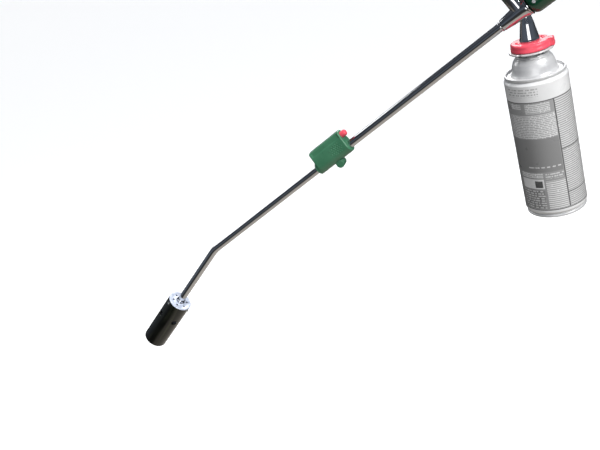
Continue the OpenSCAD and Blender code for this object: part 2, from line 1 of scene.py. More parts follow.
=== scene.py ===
import json
import math

import bmesh
import bpy
import numpy as np
from mathutils import Matrix, Vector


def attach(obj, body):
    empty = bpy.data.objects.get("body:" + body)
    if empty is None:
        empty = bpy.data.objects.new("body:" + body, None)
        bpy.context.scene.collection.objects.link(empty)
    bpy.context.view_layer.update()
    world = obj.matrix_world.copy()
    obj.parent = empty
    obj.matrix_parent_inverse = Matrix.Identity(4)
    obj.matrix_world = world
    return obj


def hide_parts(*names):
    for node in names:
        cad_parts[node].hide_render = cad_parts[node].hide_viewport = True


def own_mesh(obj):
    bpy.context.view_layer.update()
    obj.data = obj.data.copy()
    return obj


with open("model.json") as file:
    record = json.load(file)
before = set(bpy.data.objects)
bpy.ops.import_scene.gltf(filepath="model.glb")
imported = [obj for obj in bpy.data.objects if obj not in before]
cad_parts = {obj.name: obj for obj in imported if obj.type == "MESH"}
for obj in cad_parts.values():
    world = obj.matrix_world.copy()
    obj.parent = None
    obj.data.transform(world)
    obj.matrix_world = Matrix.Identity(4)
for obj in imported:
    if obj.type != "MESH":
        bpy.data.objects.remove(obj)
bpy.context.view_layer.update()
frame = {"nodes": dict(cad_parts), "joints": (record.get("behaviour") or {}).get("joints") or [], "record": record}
mm = 0.001

# ---- the torch's own lines, read from the frame or repeated from the CAD model ----
layout = {
    "gripToValve": 0.070,
    "valveToBend": 0.494,
    "bendRadius": 0.050,
    "bendAngle": math.radians(14.4),
    "bendToPlate": 0.107,
    "ringAboveSeam": 0.028,
}
joints = {joint["name"]: joint for joint in frame["joints"]}
forward = np.array(joints["button_press"]["axis"])
upward = np.array(joints["regulator_turn"]["axis"])
sideways = np.array([0.0, 1.0, 0.0])
canX = joints["ring_turn"]["pos_m"][0]
seamZ = joints["ring_turn"]["pos_m"][2] - layout["ringAboveSeam"]
legForward = math.cos(layout["bendAngle"]) * forward - math.sin(layout["bendAngle"]) * upward
legUpward = math.sin(layout["bendAngle"]) * forward + math.cos(layout["bendAngle"]) * upward
plateCentre = (layout["gripToValve"] + layout["valveToBend"]) * forward + layout["bendToPlate"] * legForward


# a local point (along, across, up) measured from the valve centre, set on the lance
def onLance(points):
    shifted = points[..., 0:1] + layout["gripToValve"]
    return shifted * forward + points[..., 1:2] * sideways + points[..., 2:3] * upward


# the same on the burner leg, measured from the rear face of the burner plate
def onLeg(points):
    along, aside, above = points[..., 0:1], points[..., 1:2], points[..., 2:3]
    return plateCentre + along * legForward + aside * sideways + above * legUpward


# the same on the cartridge's axis, measured upward from its top seam
def onCan(points):
    return points + np.array([canX, 0.0, seamZ])


# on the valve's stem: local Z runs up the stem, 4 mm ahead of the valve centre
def onStem(points):
    return onLance(points + np.array([4 * mm, 0.0, 0.0]))


# ---- shapes ----
# rounds the corners of a polyline: each corner is (a, b) or (a, b, radius), all in millimetres;
# an arc of that radius, tangent to both sides, takes the corner's place
def rounded(corners, closed=False, steps=6):
    given = [tuple(c) + (0,) * (3 - len(c)) for c in corners]
    out = []
    count = len(given)
    for i, (a, b, radius) in enumerate(given):
        here = np.array([a, b], float)
        if radius <= 0 or (not closed and i in (0, count - 1)):
            out.append(here)
            continue
        before = np.array(given[i - 1][:2]) - here
        after = np.array(given[(i + 1) % count][:2]) - here
        toBefore = before / np.linalg.norm(before)
        toAfter = after / np.linalg.norm(after)
        half = math.acos(max(-1.0, min(1.0, float(toBefore @ toAfter)))) / 2
        if half > 1.55:
            out.append(here)
            continue
        shorter = 0.49 * min(np.linalg.norm(before), np.linalg.norm(after))
        reach = min(radius / math.tan(half), shorter)
        radius = reach * math.tan(half)
        middle = toBefore + toAfter
        centre = here + middle / np.linalg.norm(middle) * radius / math.sin(half)
        first = here + toBefore * reach - centre
        last = here + toAfter * reach - centre
        sweep = math.atan2(first[0] * last[1] - first[1] * last[0], float(first @ last))
        for turn in np.linspace(0, sweep, steps):
            c, s = math.cos(turn), math.sin(turn)
            out.append(centre + np.array([c * first[0] - s * first[1], s * first[0] + c * first[1]]))
    return np.array(out) * mm


# quads between the rows and columns of a grid of points, wrapping where it is closed
def gridFaces(rows, cols, closedRows=False, closedCols=True):
    r = np.arange(rows if closedRows else rows - 1)
    c = np.arange(cols if closedCols else cols - 1)
    rr, cc = np.meshgrid(r, c, indexing="ij")
    r2, c2 = (rr + 1) % rows, (cc + 1) % cols
    return np.stack([rr * cols + cc, rr * cols + c2, r2 * cols + c2, r2 * cols + cc], -1).reshape(-1, 4)


# a profile of (radius, distance) turned about the local X axis: x = distance,
# y = radius sin(angle), z = radius cos(angle); radiusAt may change the radius with the angle
def turnedAlong(profile, count=96, radiusAt=None):
    angle = np.linspace(0, 2 * math.pi, count, endpoint=False)[None, :]
    radius = np.repeat(profile[:, 0:1], count, 1)
    run = np.repeat(profile[:, 1:2], count, 1)
    if radiusAt:
        radius = radiusAt(radius, run, angle)
    return np.stack([run, radius * np.sin(angle), radius * np.cos(angle)], -1)


# the same about the local Z axis: x = radius cos(angle), y = radius sin(angle), z = height
def turnedUp(profile, count=96, radiusAt=None):
    angle = np.linspace(0, 2 * math.pi, count, endpoint=False)[None, :]
    radius = np.repeat(profile[:, 0:1], count, 1)
    height = np.repeat(profile[:, 1:2], count, 1)
    if radiusAt:
        radius, height = radiusAt(radius, height, angle)
    return np.stack([radius * np.cos(angle), radius * np.sin(angle), height], -1)


# makes one mesh object from one or more (points, faces) grids
def makeMesh(name, grids, sharp=38):
    verts, faces, base = [], [], 0
    for points, quads in grids:
        flat = points.reshape(-1, 3)
        verts.append(flat)
        faces.append(quads + base)
        base += len(flat)
    mesh = bpy.data.meshes.new(name)
    mesh.from_pydata(np.concatenate(verts).tolist(), [], np.concatenate(faces).tolist())
    obj = bpy.data.objects.new(name, mesh)
    bpy.context.scene.collection.objects.link(obj)
    tidyMesh(obj, sharp)
    return obj


# merges doubles, dissolves flat slivers and turns the faces outwards; a carved piece only has
# its doubles merged
def tidyMesh(obj, sharp=38, carved=False):
    work = bmesh.new()
    work.from_mesh(obj.data)
    if carved:  # the solver's faces already point the right way
        bmesh.ops.remove_doubles(work, verts=work.verts, dist=1e-7)
    else:
        bmesh.ops.remove_doubles(work, verts=work.verts, dist=2e-6)
        bmesh.ops.dissolve_degenerate(work, edges=work.edges, dist=1e-7)
        bmesh.ops.recalc_face_normals(work, faces=work.faces)
    work.to_mesh(obj.data)
    work.free()
    obj.data.polygons.foreach_set("use_smooth", np.ones(len(obj.data.polygons), bool))
    obj.data.set_sharp_from_angle(angle=math.radians(sharp))


# one turned, closed piece
def turnedPiece(name, profile, place, count=96, radiusAt=None, upright=False, sharp=38, closed=True):
    turn = turnedUp if upright else turnedAlong
    points = place(turn(profile, count, radiusAt))
    return makeMesh(name, [(points, gridFaces(len(profile), count, closedRows=closed))], sharp)


# takes other closed shapes away from a piece, or adds them, and bakes the result
def carve(obj, others, operation="DIFFERENCE", sharp=38):
    for other in others:
        cut = obj.modifiers.new("carve", "BOOLEAN")
        cut.operation = operation
        cut.solver = "EXACT"
        cut.object = other
    bpy.context.view_layer.update()
    graph = bpy.context.evaluated_depsgraph_get()
    baked = bpy.data.meshes.new_from_object(obj.evaluated_get(graph))
    obj.modifiers.clear()
    old = obj.data
    obj.data = baked
    bpy.data.meshes.remove(old)
    for other in others:
        bpy.data.objects.remove(other)
    tidyMesh(obj, sharp, carved=True)
    return obj


# a plain bar to carve with, along local X or local Z, in millimetres
def barCutter(radius, start, end, place, upright=False, count=48):
    profile = np.array([[0, start], [radius, start], [radius, end], [0, end]]) * mm
    return turnedPiece("cutter", profile, place, count, upright=upright, closed=False)


# turns local points about the local X axis, so that up becomes a given angle round the bar
def turnedRound(place, degrees):
    c, s = math.cos(math.radians(degrees)), math.sin(math.radians(degrees))
    turn = np.array([[1, 0, 0], [0, c, s], [0, -s, c]])
    return lambda points: place(points @ turn.T)


def shifted(place, x=0.0, y=0.0, z=0.0):
    return lambda points: place(points + np.array([x, y, z]) * mm)


def across(place):
    swap = np.array([[1, 0, 0], [0, 0, 1], [0, -1, 0]])
    return lambda points: place(points @ swap.T)


# ---- materials ----
def startMaterial(name):
    mat = bpy.data.materials.new(name)
    mat.use_nodes = True
    return mat, mat.node_tree, mat.node_tree.nodes["Principled BSDF"]


# adds a node, joins sockets that are given and sets the values that are given
def addNode(tree, kind, inputs=None, **settings):
    node = tree.nodes.new(kind)
    for key, value in settings.items():
        setattr(node, key, value)
    for key, value in (inputs or {}).items():
        if isinstance(value, bpy.types.NodeSocket):
            tree.links.new(value, node.inputs[key])
        else:
            node.inputs[key].default_value = value
    return node


def calc(tree, operation, a, b=0.0, c=0.0, clamp=False):
    node = addNode(tree, "ShaderNodeMath", {0: a, 1: b, 2: c}, operation=operation, use_clamp=clamp)
    return node.outputs[0]


def mixColour(tree, share, a, b, blend="MIX"):
    node = addNode(tree, "ShaderNodeMix", {0: share, 6: a, 7: b}, data_type="RGBA", blend_type=blend)
    return node.outputs[2]


def noiseOf(tree, coords, scale, detail=4.0, roughness=0.55, stretch=None):
    if stretch:
        coords = addNode(tree, "ShaderNodeMapping", {"Vector": coords, "Scale": stretch}).outputs[0]
    node = addNode(tree, "ShaderNodeTexNoise",
                   {"Vector": coords, "Scale": scale, "Detail": detail, "Roughness": roughness})
    return node.outputs[0]


def rangeOf(tree, value, low, high, fromLow=0.3, fromHigh=0.7):
    node = addNode(tree, "ShaderNodeMapRange", {0: value, 1: fromLow, 2: fromHigh, 3: low, 4: high})
    return node.outputs[0]


def objectCoords(tree):
    return addNode(tree, "ShaderNodeTexCoord").outputs["Object"]


def addBump(tree, shader, height, strength, depth):
    bump = addNode(tree, "ShaderNodeBump", {"Strength": strength, "Distance": depth, "Height": height})
    tree.links.new(bump.outputs[0], shader.inputs["Normal"])


# a display colour out of 255, as the linear colour that a shader takes
def linear(r, g, b):
    shares = [c / 255 for c in (r, g, b)]
    return tuple(c / 12.92 if c <= 0.04045 else ((c + 0.055) / 1.055) ** 2.4 for c in shares) + (1.0,)


# one finish from a dictionary: base colours, roughness range, bump size and strength, coat and metal
def finish(name, look):
    mat, tree, shader = startMaterial(name)
    coords = objectCoords(tree)
    patch = noiseOf(tree, coords, look.get("patchScale", 60), 3.0)
    share = rangeOf(tree, patch, 0.0, 1.0)
    tree.links.new(mixColour(tree, share, look["colour"], look.get("colour2", look["colour"])),
                   shader.inputs["Base Color"])
    fine = noiseOf(tree, coords, look["grainScale"], 3.0, 0.6, look.get("grainStretch"))
    smear = noiseOf(tree, coords, look.get("smearScale", 140), 4.0, 0.6)
    both = calc(tree, "MULTIPLY_ADD", fine, 0.4, calc(tree, "MULTIPLY", smear, 0.6))
    tree.links.new(rangeOf(tree, both, *look["rough"]), shader.inputs["Roughness"])
    addBump(tree, shader, fine, look["bump"], look["bumpDepth"])
    shader.inputs["Metallic"].default_value = look.get("metal", 0.0)
    shader.inputs["Coat Weight"].default_value = look.get("coat", 0.0)
    shader.inputs["Coat Roughness"].default_value = look.get("coatRough", 0.08)
    shader.inputs["IOR"].default_value = look.get("ior", 1.5)
    if "sub" in look:
        shader.inputs["Subsurface Weight"].default_value = look["sub"]
        shader.inputs["Subsurface Radius"].default_value = look["subRadius"]
        shader.inputs["Subsurface Scale"].default_value = 0.002
    return mat


finishes = {
    "chrome": {"colour": (0.55, 0.555, 0.57, 1), "colour2": (0.50, 0.505, 0.52, 1), "metal": 1.0,
               "rough": (0.035, 0.11), "grainScale": 1500, "bump": 0.04, "bumpDepth": 0.00005,
               "smearScale": 90},
    "brass": {"colour": (0.72, 0.50, 0.20, 1), "colour2": (0.67, 0.46, 0.18, 1), "metal": 1.0,
              "rough": (0.18, 0.36), "grainScale": 900, "bump": 0.1, "bumpDepth": 0.0001},
    "steel": {"colour": (0.52, 0.52, 0.53, 1), "colour2": (0.42, 0.42, 0.43, 1), "metal": 1.0,
              "rough": (0.2, 0.4), "grainScale": 900, "bump": 0.1, "bumpDepth": 0.0001},
    "gripGreen": {"colour": linear(6, 66, 42), "colour2": linear(3, 56, 35), "rough": (0.14, 0.24),
                  "grainScale": 700, "bump": 0.12, "bumpDepth": 0.00012, "coat": 0.2, "smearScale": 60},
    "boxGreen": {"colour": linear(68, 122, 92), "colour2": linear(58, 111, 82), "rough": (0.24, 0.4),
                 "grainScale": 1600, "bump": 0.22, "bumpDepth": 0.0001, "smearScale": 160},
    "red": {"colour": linear(235, 90, 106), "colour2": linear(225, 76, 94), "rough": (0.3, 0.46),
            "grainScale": 1400, "bump": 0.18, "bumpDepth": 0.0001, "sub": 0.12,
            "subRadius": (1.0, 0.3, 0.25)},
    "black": {"colour": linear(30, 31, 32), "colour2": linear(24, 24, 25), "rough": (0.4, 0.6),
              "grainScale": 1400, "bump": 0.25, "bumpDepth": 0.0001},
    "white": {"colour": linear(236, 236, 230), "colour2": linear(228, 228, 220), "rough": (0.35, 0.5),
              "grainScale": 1200, "bump": 0.1, "bumpDepth": 0.0001, "sub": 0.1, "subRadius": (1.0, 0.9, 0.8)},
    "rubber": {"colour": linear(28, 28, 29), "colour2": linear(36, 36, 36), "rough": (0.6, 0.8),
               "grainScale": 1200, "bump": 0.25, "bumpDepth": 0.0001},
    "ceramic": {"colour": linear(240, 236, 224), "colour2": linear(230, 224, 210), "rough": (0.15, 0.3),
                "grainScale": 900, "bump": 0.05, "bumpDepth": 0.0001, "coat": 0.4},
}
materials = {key: finish(key + "Finish", look) for key, look in finishes.items()}


# zinc plating: a bluish metal whose crystals catch the light in patches
def zincFinish():
    mat, tree, shader = startMaterial("zincFinish")
    coords = objectCoords(tree)
    crystals = addNode(tree, "ShaderNodeTexVoronoi", {"Vector": coords, "Scale": 420.0})
    tint = addNode(tree, "ShaderNodeSeparateColor", {0: crystals.outputs["Color"]}).outputs[0]
    cloud = noiseOf(tree, coords, 220, 4.0)
    tone = calc(tree, "MULTIPLY_ADD", tint, 0.35, calc(tree, "MULTIPLY", cloud, 0.65))
    share = rangeOf(tree, tone, 0.0, 1.0)
    tree.links.new(mixColour(tree, share, (0.56, 0.63, 0.78, 1), (0.74, 0.79, 0.92, 1)),
                   shader.inputs["Base Color"])
    tree.links.new(rangeOf(tree, tone, 0.30, 0.55), shader.inputs["Roughness"])
    addBump(tree, shader, cloud, 0.15, 0.0001)
    shader.inputs["Metallic"].default_value = 0.3
    return mat


# black heat-proof enamel: glossy, faintly green-grey, with pale olive streaks along the leg that are painted
# highlights
def cupFinish():
    mat, tree, shader = startMaterial("cupFinish")
    coords = objectCoords(tree)
    slope = math.atan2(-legForward[2], legForward[0])
    level = addNode(tree, "ShaderNodeMapping", {"Vector": coords, "Rotation": (0, -slope, 0)}).outputs[0]
    cloud = noiseOf(tree, coords, 70, 5.0, 0.6)
    # painted highlight: noise stretched along the leg lightens the enamel in streaks, and the same streaks also
    # vary the roughness
    highlightStreak = noiseOf(tree, level, 260, 3.0, 0.6, (0.06, 1, 1))
    base = mixColour(tree, rangeOf(tree, cloud, 0.0, 1.0), linear(12, 13, 11), linear(27, 29, 23))
    tree.links.new(mixColour(tree, rangeOf(tree, highlightStreak, 0.0, 0.7, 0.5, 0.72), base, linear(62, 66, 50)),
                   shader.inputs["Base Color"])
    both = calc(tree, "MULTIPLY_ADD", cloud, 0.6, calc(tree, "MULTIPLY", highlightStreak, 0.4))
    tree.links.new(rangeOf(tree, both, 0.1, 0.24), shader.inputs["Roughness"])
    addBump(tree, shader, cloud, 0.12, 0.0002)
    shader.inputs["Metallic"].default_value = 0.55
    shader.inputs["Coat Weight"].default_value = 0.35
    shader.inputs["Coat Roughness"].default_value = 0.12
    return mat


# lacquered tinplate of the cartridge's plain ends
def tinFinish():
    mat, tree, shader = startMaterial("tinFinish")
    coords = objectCoords(tree)
    cloud = noiseOf(tree, coords, 90, 4.0)
    fine = noiseOf(tree, coords, 900, 3.0, 0.6)
    share = rangeOf(tree, cloud, 0.0, 1.0)
    tree.links.new(mixColour(tree, share, linear(204, 204, 205), linear(217, 217, 217)),
                   shader.inputs["Base Color"])
    tree.links.new(rangeOf(tree, cloud, 0.3, 0.42), shader.inputs["Roughness"])
    addBump(tree, shader, fine, 0.08, 0.0001)
    shader.inputs["Metallic"].default_value = 0.3
    return mat


# the printed wrap: panels are rectangles in degrees round the can and millimetres below its top seam
labelLook = {
    "white": linear(225, 225, 225),
    "field": linear(152, 152, 152),
    "dark": linear(134, 134, 134),
    "pale": linear(214, 214, 214),
    "line": linear(88, 88, 88),
    "ink": linear(82, 82, 82),
}
# left, right, low, high, tone, and whether fine printing lies on it
labelPanels = [
    (-360, 360, -147.0, -24.0, "field", 0),
    (29, 119.5, -38.0, -24.0, "field", 0), (35, 59, -31.6, -25.6, "pale", 1),
    (67, 112, -36.5, -25.6, "pale", 1),
    (20, 118.5, -64.5, -38.4, "pale", 1), (20, 118.5, -103.0, -65.0, "dark", 0),
    (53, 118, -98.2, -96.4, "dark", 2), (31, 80, -109.5, -104.0, "white", 1),
    (31, 80, -122.4, -111.0, "white", 0), (62, 77, -121.0, -113.2, "line", 0),
    (31, 78, -145.5, -124.5, "dark", 2), (84, 118, -111.0, -105.0, "field", 2),
    (83, 119, -146.0, -113.5, "white", 3), (122, 200, -146.8, -24.8, "pale", 3),
    (-150, 15, -140.0, -30.0, "dark", 0), (-140, 5, -78.0, -40.0, "pale", 0),
    (-140, 5, -130.0, -96.0, "white", 1),
]
labelRules = [(119.6, 121.6, -147.0, -24.0), (121, 200, -81.2, -80.2), (121, 200, -130.6, -129.6),
              (-360, 360, -24.9, -23.9), (-360, 360, -148.2, -147.2), (198, 201, -147.0, -24.0)]


def labelFinish():
    mat, tree, shader = startMaterial("labelFinish")
    place = addNode(tree, "ShaderNodeMapping", {"Vector": objectCoords(tree), "Location": (-canX, 0, -seamZ)})
    parts = addNode(tree, "ShaderNodeSeparateXYZ", {0: place.outputs[0]})
    turn = calc(tree, "MULTIPLY", calc(tree, "ARCTAN2", parts.outputs[1], parts.outputs[0]), 180 / math.pi)
    turn = calc(tree, "ADD", turn, calc(tree, "MULTIPLY", calc(tree, "LESS_THAN", turn, -155.0), 360.0))
    height = calc(tree, "MULTIPLY", parts.outputs[2], 1000.0)
    flat = addNode(tree, "ShaderNodeCombineXYZ", {0: turn, 1: height}).outputs[0]

    def inside(left, right, low, high):
        centre = ((left + right) / 2, (low + high) / 2, 0)
        offset = addNode(tree, "ShaderNodeVectorMath", {0: flat, 1: centre}, operation="SUBTRACT").outputs[0]
        apart = addNode(tree, "ShaderNodeVectorMath", {0: offset}, operation="ABSOLUTE").outputs[0]
        half = ((right - left) / 2, (high - low) / 2, 1.0)
        past = addNode(tree, "ShaderNodeVectorMath", {0: apart, 1: half}, operation="SUBTRACT").outputs[0]
        xyz = addNode(tree, "ShaderNodeSeparateXYZ", {0: past})
        return calc(tree, "LESS_THAN", calc(tree, "MAXIMUM", xyz.outputs[0], xyz.outputs[1]), 0.0)

    # rows of broken strokes, as fine printing looks from arm's length
    def printing(pitch, wordLength, cover):
        row = calc(tree, "DIVIDE", height, pitch)
        stroke = calc(tree, "LESS_THAN", calc(tree, "FRACT", row), 0.5)
        seed = addNode(tree, "ShaderNodeCombineXYZ",
                       {0: calc(tree, "DIVIDE", turn, wordLength), 1: calc(tree, "FLOOR", row)}).outputs[0]
        words = addNode(tree, "ShaderNodeTexNoise", {"Vector": seed, "Scale": 1.0, "Detail": 2.0}).outputs[0]
        return calc(tree, "MULTIPLY", stroke, calc(tree, "LESS_THAN", words, cover))

    inks = {1: printing(1.9, 3.2, 0.56), 2: printing(2.8, 5.0, 0.53), 3: printing(2.3, 9.0, 0.66)}
    colour = labelLook["white"]
    for left, right, low, high, tone, ink in labelPanels:
        mask = inside(left, right, low, high)
        colour = mixColour(tree, mask, colour, labelLook[tone])
        if ink:
            inked = calc(tree, "MULTIPLY", mask, inks[ink])
            shade = labelLook["ink"] if tone in ("white", "pale") else labelLook["white"]
            strength = 0.8 if ink == 2 else 0.6
            colour = mixColour(tree, calc(tree, "MULTIPLY", inked, strength), colour, shade)
    for rule in labelRules:
        colour = mixColour(tree, inside(*rule), colour, labelLook["line"])
    mark = calc(tree, "MULTIPLY", inside(34, 95, -18.5, -8.5), inks[2])
    colour = mixColour(tree, calc(tree, "MULTIPLY", mark, 0.5), colour, labelLook["ink"])
    cloud = noiseOf(tree, objectCoords(tree), 45, 4.0)
    colour = mixColour(tree, rangeOf(tree, cloud, 0.0, 0.12), colour, linear(120, 120, 118))
    tree.links.new(colour, shader.inputs["Base Color"])
    tree.links.new(rangeOf(tree, cloud, 0.24, 0.36), shader.inputs["Roughness"])
    fine = noiseOf(tree, objectCoords(tree), 700, 2.0)
    addBump(tree, shader, fine, 0.06, 0.0001)
    shader.inputs["Coat Weight"].default_value = 0.3
    shader.inputs["Coat Roughness"].default_value = 0.15
    return mat


materials["zinc"] = zincFinish()
materials["cup"] = cupFinish()
materials["tin"] = tinFinish()
materials["label"] = labelFinish()
print("materials:", len(materials))


# gives a new piece its finish and its body, and hides the CAD nodes that it stands for
def fit(obj, material, body, slot, *nodes):
    obj.data.materials.clear()
    obj.data.materials.append(materials[material])
    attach(obj, body)
    if nodes:
        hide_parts(*nodes)
    return obj


# ---- lance: a ring carried along the bent centre line, out along the outer wall and back inside ----
lance = {"radius": 4.75, "bore": 4.0, "start": 14.0, "end": 6.0, "sides": 64, "clearance": 0.03}
bendHalf = layout["bendRadius"] * math.tan(layout["bendAngle"] / 2)
bendStart = layout["valveToBend"] - bendHalf
arcLength = layout["bendRadius"] * layout["bendAngle"]


# straight, then an arc of the bend's radius, then straight again at the bend's angle
def lancePath(stations):
    past = np.clip(stations - bendStart, 0, arcLength)
    turn = past / layout["bendRadius"]
    beyond = np.maximum(stations - bendStart - arcLength, 0)
    x = np.minimum(stations, bendStart) + layout["bendRadius"] * np.sin(turn) + beyond * np.cos(turn)
    z = layout["bendRadius"] * (np.cos(turn) - 1) - beyond * np.sin(turn)
    return x, z, turn


def makeLance():
    arcEnd = bendStart + arcLength
    lastStation = arcEnd + (layout["bendToPlate"] - bendHalf) + lance["end"] * mm
    out = np.concatenate([np.linspace(lance["start"] * mm, bendStart, 60),
                          np.linspace(bendStart, arcEnd, 22)[1:],
                          np.linspace(arcEnd, lastStation, 16)[1:]])
    stations = np.concatenate([out, out[::-1]])
    radius = np.concatenate([np.full(len(out), lance["radius"]), np.full(len(out), lance["bore"])]) * mm
    x, z, turn = lancePath(stations)
    angle = np.linspace(0, 2 * math.pi, lance["sides"], endpoint=False)[None, :]
    up = radius[:, None] * np.cos(angle)
    points = np.stack([x[:, None] + up * np.sin(turn)[:, None], radius[:, None] * np.sin(angle),
                       z[:, None] + up * np.cos(turn)[:, None]], -1)
    return makeMesh("lance", [(onLance(points), gridFaces(len(stations), lance["sides"], closedRows=True))])


fit(makeLance(), "chrome", "torch", "chrome", "lance_tube")

lockRing = rounded([
    (4.78, 28.15, 0.1), (5.6, 28.15, 0.4), (5.75, 29.0, 0.5), (5.5, 30.05, 0.4), (4.78, 30.05, 0.1)],
    closed=True)
fit(turnedPiece("lanceNut", lockRing, onLance), "chrome", "torch", "chrome", "lance_nut")
print("lance done")

# ---- valve body: a cone along the lance joined with the stem's housing, then bored ----
valve = {"front": 28.0, "stemRadius": 8.0, "stemTop": 24.0, "stemBore": 3.2, "seatRadius": 5.03,
         "rearBore": 4.03}


def makeValve():
    cone = rounded([
        (0, -16), (6, -16, 0.5), (6, -4), (9.3, -4, 0.6), (9.55, -2.6, 2), (9.35, 1, 6), (7.7, 14, 20),
        (6.1, 27.3, 0.7), (5.5, 28, 0.3), (0, 28)])
    body = turnedPiece("valveBody", cone, onLance, 128, closed=False)
    top, wide = valve["stemTop"], valve["stemRadius"]
    stem = rounded([(0, 0), (wide, 0), (wide, top - 0.1, 0.7), (7.2, top, 0.3), (0, top)])
    carve(body, [turnedPiece("housing", stem, onStem, 128, upright=True, closed=False)], "UNION")
    neckSeat = rounded([
        (0, 20), (11, 20), (11, 34), (9.13, 38.5), (7.03, 50), (5.33, 57), (5.03, 60), (0, 60)])
    cutters = [
        barCutter(valve["stemBore"], -1.5, 40, onStem, upright=True),
        barCutter(valve["seatRadius"], 14, 40, onStem, upright=True),
        barCutter(lance["radius"] + lance["clearance"], valve["front"] - 14, valve["front"] + 5, onLance),
        barCutter(valve["rearBore"], -17, -7, onLance),
        turnedPiece("seat", neckSeat, onCan, 96, upright=True, closed=False),
    ]
    return carve(body, cutters, sharp=32)


fit(makeValve(), "chrome", "torch", "chrome", "valve_body")

# ---- neck: a trumpet on the cartridge's axis, with the journal that the locking ring turns on ----
neckProfile = rounded([
    (2, 24.7, 0.2), (6, 24.7, 0.3), (6, 28), (9, 28, 0.3), (9, 31.95), (9.9, 31.95, 0.3),
    (10.3, 32.8, 0.7), (9.75, 34.6, 2.5), (9.1, 38.5, 20), (7, 50, 25), (5.3, 57, 10), (5, 60),
    (3.2, 60), (3.2, 54), (2, 54)], closed=True)
fit(turnedPiece("inletNeck", neckProfile, onCan, 128, upright=True), "chrome", "torch", "chrome",
    "inlet_neck")

collar = rounded([
    (6.03, -5.9, 0.1), (9.7, -5.9, 0.4), (10.25, -5.4, 0.4), (10.25, -4.6, 0.4), (9.7, -4.05, 0.3),
    (6.03, -4.05, 0.1)], closed=True)
fit(turnedPiece("gripCollar", collar, onLance, 128), "chrome", "torch", "chrome", "grip_collar")
print("valve done")

# ---- locking ring: a turned cap whose outer wall steps out into a square tab at the rear ----
ring = {"tabHalf": 15.5, "tabReach": 24.0, "tabLimit": 24.35, "wallFrom": 17.6, "outside": 20.2,
        "ribSides": (25.0, 205.0), "ribMiddle": 13.6, "ribHeight": 0.45}


def ringShape(radius, height, angle):
    fromRear = np.degrees(np.abs((angle + 2 * math.pi) % (2 * math.pi) - math.pi))
    share = np.clip((ring["tabHalf"] - fromRear) / 1.6, 0, 1)
    share = share * share * (3 - 2 * share)
    outer = np.clip((radius - ring["wallFrom"] * mm) / (1.4 * mm), 0, 1)
    square = ring["tabReach"] * mm / np.maximum(np.cos(np.radians(fromRear)), 0.9)
    flat = np.minimum(square, ring["tabLimit"] * mm)
    grown = radius + share * outer * (flat - ring["outside"] * mm)
    lift = share * outer * np.clip((height - 29.5 * mm) / mm, 0, 1) * 0.3 * mm
    # two short rows of ribs on the top face, ahead of and behind the neck
    aside = np.abs(radius - ring["ribMiddle"] * mm)
    onTop = (height > 31.0 * mm) * np.clip(1 - aside / (2.2 * mm), 0, 1)
    degrees = np.degrees(angle)
    rows = np.zeros_like(degrees)
    for centre in ring["ribSides"]:
        near = np.abs((degrees - centre + 180) % 360 - 180)
        rows = rows + (near < 20) * (0.5 + 0.5 * np.cos(np.radians(near * 45)))
    onTop = np.clip(onTop * 3, 0, 1) * rows
    return grown, height + lift + onTop * ring["ribHeight"] * mm


def makeRing():
    topRows = [(r, 31.75) for r in np.linspace(17.2, 10.2, 15)]
    outside = [
        (17, 23.7, 0.2), (20.0, 23.7, 0.4), (20.55, 24.1, 0.4), (20.45, 26.4), (20.2, 26.7),
        (20.1, 29.6, 1.0), (19.7, 30.9, 1.2), (18.7, 31.6, 1.0), (17.6, 31.75, 0.6)]
    inside = [(9.3, 31.75, 0.3), (9.07, 31.4), (9.07, 29.1, 0.2), (17, 29.1, 0.5)]
    profile = rounded(outside + topRows + inside, closed=True)
    return turnedPiece("lockingRing", profile, onCan, 360, ringShape, upright=True, sharp=45)


fit(makeRing(), "red", "ring", "red_plastic", "locking_ring")
print("locking ring done")

# ---- cartridge: four turned sheets, each with the can's own wall ----
bodyProfile = rounded([
    (30.6, -2.6), (30.6, -3.7, 0.5), (31.4, -4.4, 0.8), (33, -6.6, 2.0), (33, -80), (33, -151.0, 2.0),
    (31.4, -153.4, 0.8), (30.6, -154.0, 0.5), (30.6, -154.9), (30.15, -154.9), (30.15, -153.7),
    (32.55, -150.7), (32.55, -80), (32.55, -6.9), (30.15, -4.0), (30.15, -2.6)], closed=True)
fit(turnedPiece("cartridgeBody", bodyProfile, onCan, 160, upright=True), "label", "cartridge", "tinplate",
    "cartridge_body")

topProfile = rounded([
    (15.4, 18.6, 0.1), (16.3, 18.5, 0.5), (17.15, 17.4, 1.0), (17.3, 16.1, 1.0), (19.0, 14.5, 3.5),
    (21.0, 11.1, 6), (22.2, 7, 12), (22.8, 2.6, 6), (23.2, 0.4, 3), (24.3, -1.6, 1.4), (26, -2.2, 1.2),
    (28.3, -2.2, 0.8), (29.3, -1.2, 0.6), (29.7, -0.3, 0.5), (30.3, 0.1, 0.4), (31.3, 0.1, 0.5),
    (31.8, -0.5, 0.4), (31.8, -2.2, 0.5), (31.2, -2.8, 0.3), (29.2, -2.8, 0.2), (28.2, -2.65),
    (25.8, -2.65), (24.0, -2.0), (22.7, 0.3), (22.3, 2.6), (21.7, 6.8), (20.6, 10.8), (18.7, 14.0),
    (16.9, 15.7), (16.6, 17.2), (15.9, 18.1), (15.4, 18.1)], closed=True)
fit(turnedPiece("cartridgeTop", topProfile, onCan, 160, upright=True), "tin", "cartridge", "tinplate",
    "cartridge_top")

baseProfile = rounded([
    (0, -148.4), (12, -149.4, 20), (22, -152.5, 20), (28.2, -155.4, 2), (29.3, -157.0, 0.5),
    (29.9, -157.5, 0.3), (31.2, -157.5, 0.5), (31.8, -156.9, 0.4), (31.8, -155.2, 0.5),
    (31.3, -154.7, 0.3), (28.8, -154.7), (22.2, -151.9, 20), (12.1, -148.8, 20), (0, -147.8)])
fit(turnedPiece("cartridgeBase", baseProfile, onCan, 160, upright=True, closed=False), "tin", "cartridge",
    "tinplate", "cartridge_base")


